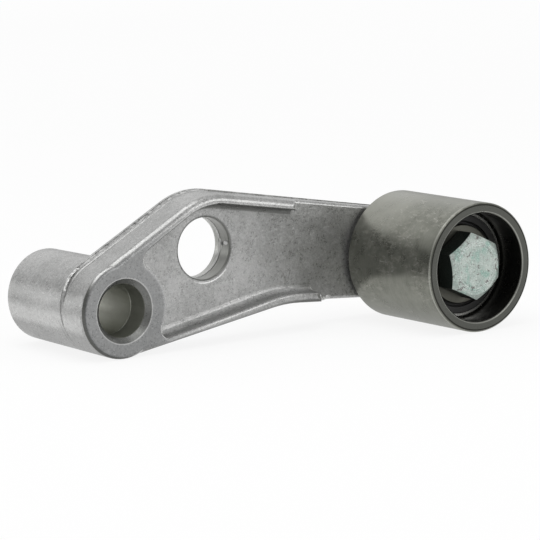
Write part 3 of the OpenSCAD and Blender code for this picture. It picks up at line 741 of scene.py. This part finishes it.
ridge = section("torn_ridge", on_arc(RIDGE_CENTRE, RIDGE_RADIUS, RIDGE_FROM, RIDGE_Y),
                RIDGE_FROM, sides=8, width=1.3, thickness=0.5)
carry_round(RIDGE_CENTRE, RIDGE_TURN, ARC_STEPS)
roughen(ridge, seed=8, unevenness=0.19, finish="torn_ridge")

# %% [markdown]
# ## Flash in the hole
# A thin ring of flash stands in the hole, where the die's two pins met. The section turns almost
# all the way round, and its two ends leave a small gap near the drop of metal.

# %% Flash in the hole
FLASH_FROM, FLASH_TURN, FLASH_Y = 10, 354, -2.35
flash = section("hole_flash", on_arc(HOLE, HOLE_RADIUS - 0.03, FLASH_FROM, FLASH_Y),
                FLASH_FROM, sides=6, width=0.5, thickness=0.42)
carry_round(HOLE, FLASH_TURN, steps=110)
roughen(flash, seed=5, unevenness=0.05, finish="torn_aluminium")

# %% [markdown]
# ## Lumps of metal
# A drop of metal froze in front of the flash. The lower rim has a rounded end. Beside it the gate,
# through which the metal came into the die, was broken off and left two rough lumps. Each piece is
# an icosphere, stretched to its three half sizes and then shaken.


# %% Drop, rim end and gate marks
def lump(name, middle, half_sizes, seed, unevenness, finish):
    """A rough lump of metal at a place."""
    bpy.ops.object.select_all(action="DESELECT")
    bpy.ops.mesh.primitive_ico_sphere_add(subdivisions=4, radius=1, location=(0, 0, 0))
    piece = begin_shaping(name)
    bpy.ops.transform.resize(value=[c * MM for c in half_sizes])
    bpy.ops.transform.translate(value=[c * MM for c in middle])
    roughen(piece, seed, unevenness, finish)


lump("hole_drop", (39.42, -5.35, 14.0), (0.42, 0.85, 0.62),
     seed=2, unevenness=0.05, finish="bright_drop")
lump("lower_rim_end", (68.3, -9.2, -4.2), (1.3, 2.3, 1.2),
     seed=12, unevenness=0.06, finish="cast_aluminium")
lump("gate_mark_1", (71.9, -6.9, -5.35), (1.5, 0.8, 0.6),
     seed=6, unevenness=0.12, finish="torn_aluminium")
lump("gate_mark_2", (73.8, -7.2, -5.0), (1.0, 0.4, 0.5),
     seed=7, unevenness=0.10, finish="torn_aluminium")

# %% [markdown]
# ## Thread in the lever
# Seen from behind, the bolt's tip stands inside its threaded hole. The solids keep both as plain
# cylinders, so nearly one open turn of thread is added. A small three-sided section is swept by
# the Screw modifier, which turns it and moves it along the axis, and its two ends are closed.

# %% Open turn of the thread
THREAD_RADIUS, THREAD_SECTION, THREAD_RISE = 5.0, 0.55, 1.35
THREAD_TURN, THREAD_Y = 0.9, -2.05
bpy.ops.object.select_all(action="DESELECT")
bpy.ops.mesh.primitive_circle_add(vertices=3, radius=THREAD_SECTION * MM, fill_type="NOTHING",
                                  location=(0, 0, 0))
thread = begin_shaping("hole_thread")
bpy.ops.transform.translate(value=(THREAD_RADIUS * MM, 0, 0))
bpy.ops.object.mode_set(mode="OBJECT")
screw = thread.modifiers.new("turns", "SCREW")
screw.axis = "Y"
screw.angle = math.radians(360 * THREAD_TURN)
screw.screw_offset = THREAD_RISE * MM
screw.steps = screw.render_steps = 96
screw.use_merge_vertices = False
bpy.ops.object.modifier_apply(modifier="turns")
bpy.ops.object.mode_set(mode="EDIT")
bpy.ops.mesh.select_all(action="SELECT")
bpy.ops.transform.translate(value=(ROLLER[0] * MM, THREAD_Y * MM, ROLLER[1] * MM))
bpy.ops.mesh.fill_holes(sides=4)
bpy.ops.mesh.normals_make_consistent(inside=False)
bpy.ops.object.mode_set(mode="OBJECT")
dress(thread, "thread_metal")

# %% [markdown]
# ## Raised ring on the bolt's head
# A forged head has a low round rim inside its chamfer. It is a torus, pressed a little flatter and
# left uneven, as a worn and coated one is. Half of it is sunk in the head.

# %% Ring on the head
RIM_RADIUS, RIM_THICKNESS, RIM_FLATNESS, RIM_UNEVENNESS = 6.6, 0.40, 0.7, 0.035
bpy.ops.object.select_all(action="DESELECT")
bpy.ops.mesh.primitive_torus_add(major_radius=RIM_RADIUS * MM, minor_radius=RIM_THICKNESS * MM,
                                 major_segments=96, minor_segments=12,
                                 rotation=(math.pi / 2, 0, 0), location=(0, 0, 0))
bpy.ops.object.transform_apply(location=True, rotation=True, scale=True)
rim = begin_shaping("head_rim")
bpy.ops.transform.resize(value=(1, RIM_FLATNESS, 1))
bpy.ops.transform.vertex_random(offset=RIM_UNEVENNESS * MM, seed=4)
bpy.ops.transform.translate(value=(ROLLER[0] * MM, HEAD_FRONT * MM, ROLLER[1] * MM))
bpy.ops.object.mode_set(mode="OBJECT")
bpy.ops.object.shade_smooth()
dress(rim, "coated_bolt")

# %% [markdown]
# ## The floor
# Metal shows what is round it, so the floor matters for more than the shadow. It is a pale, matt
# plane. For rays from the camera, and for mirrored and transmitted ones, a plain white covers most
# of it, so the ground of the picture is white and still keeps a faint shadow. Close by, mirrored
# rays meet less of that white, so the floor looks a little grey in the metal.

# %% Floor
FLOOR_SIZE, FLOOR_HEIGHT, FLOOR_GREY = 12, -13.35, (0.86, 0.86, 0.86, 1)
WHITE_CLOSE_BY, LESS_IN_MIRRORS = 0.86, 0.25
bpy.ops.object.select_all(action="DESELECT")
bpy.ops.mesh.primitive_plane_add(size=FLOOR_SIZE, location=(0, 0, FLOOR_HEIGHT * MM))
floor = bpy.context.object
floor.name = "floor"
floor_material, floor_shader, place = start("pale_floor")
floor_shader.inputs["Base Color"].default_value = FLOOR_GREY
floor_shader.inputs["Roughness"].default_value = 0.9
floor_shader.inputs["Specular IOR Level"].default_value = 0.0


def ray_is(kind):
    return place.make("ShaderNodeLightPath", {}, {}, output=kind)


in_mirror = ray_is("Is Glossy Ray")
seen = ray_is("Is Camera Ray").larger(in_mirror).larger(ray_is("Is Transmission Ray"))
floor_x, floor_y = axes(place)[:2]
far_off = radius_from(floor_x, floor_y, PIVOT).rises(400, 2000)
cover = seen * (WHITE_CLOSE_BY + far_off * (1 - WHITE_CLOSE_BY))
cover = cover * (1 - in_mirror * (1 - far_off) * LESS_IN_MIRRORS)
white = place.make("ShaderNodeEmission", {}, {"Color": (1, 1, 1, 1), "Strength": 1.0})
matt = Wire(place.tree, floor_shader.outputs[0])
mixed = place.make("ShaderNodeMixShader", {}, {0: cover, 1: matt, 2: white})
place.tree.links.new(mixed.socket, place.tree.nodes["Material Output"].inputs["Surface"])
floor.data.materials.append(floor_material)
print("floor", FLOOR_SIZE, "m wide at", FLOOR_HEIGHT, "mm")

# %% [markdown]
# ## Lights and world
# A studio for a metal part is mostly large pale surfaces, because their reflections draw its form.
# A wide light stands behind the part and one hangs overhead. A small one is low behind it on the
# left, for the side of the boss, and one in front on the right is for the plate. The world is
# dimmer at the horizon than overhead, which gives the grey steps on round metal.


# %% Lights and world
def soft_light(name, place, aim, size, power):
    """An area light at a place, turned towards its aim, in metres and watts."""
    data = bpy.data.lights.new(name, "AREA")
    data.shape = "RECTANGLE"
    data.size, data.size_y = size
    data.energy = power
    light = bpy.data.objects.new(name, data)
    bpy.context.scene.collection.objects.link(light)
    aimed = (Vector(aim) - Vector(place)).to_track_quat("-Z", "Y").to_matrix().to_4x4()
    light.matrix_world = Matrix.Translation(place) @ aimed
    print(name, "light", power, "W")


PART_MIDDLE = (0.05, 0, 0)
soft_light("behind", (0.32, 0.92, 0.52), PART_MIDDLE, size=(1.6, 0.6), power=1.35)
soft_light("overhead", (-0.20, -0.10, 0.90), PART_MIDDLE, size=(0.8, 0.8), power=4.2)
soft_light("behind_left", (-0.65, 0.95, 0.16), (0, 0, 0), size=(0.45, 0.30), power=0.55)
soft_light("front_right", (0.75, -0.95, 0.35), PART_MIDDLE, size=(0.7, 0.5), power=3.0)

HORIZON_LEVEL, OVERHEAD_LEVEL = 0.46, 0.70
world = bpy.data.worlds.new("studio")
bpy.context.scene.world = world
world.use_nodes = True
direction = Wire(world.node_tree).make("ShaderNodeTexCoord", {}, {}, output="Generated")
upwards = axes(direction)[2]
level = HORIZON_LEVEL + upwards.rises(0.1, 0.8) * (OVERHEAD_LEVEL - HORIZON_LEVEL)
background = world.node_tree.nodes["Background"]
background.inputs["Color"].default_value = (1, 1, 1, 1)
world.node_tree.links.new(level.socket, background.inputs["Strength"])
print("world from", HORIZON_LEVEL, "at the horizon to", OVERHEAD_LEVEL, "overhead")
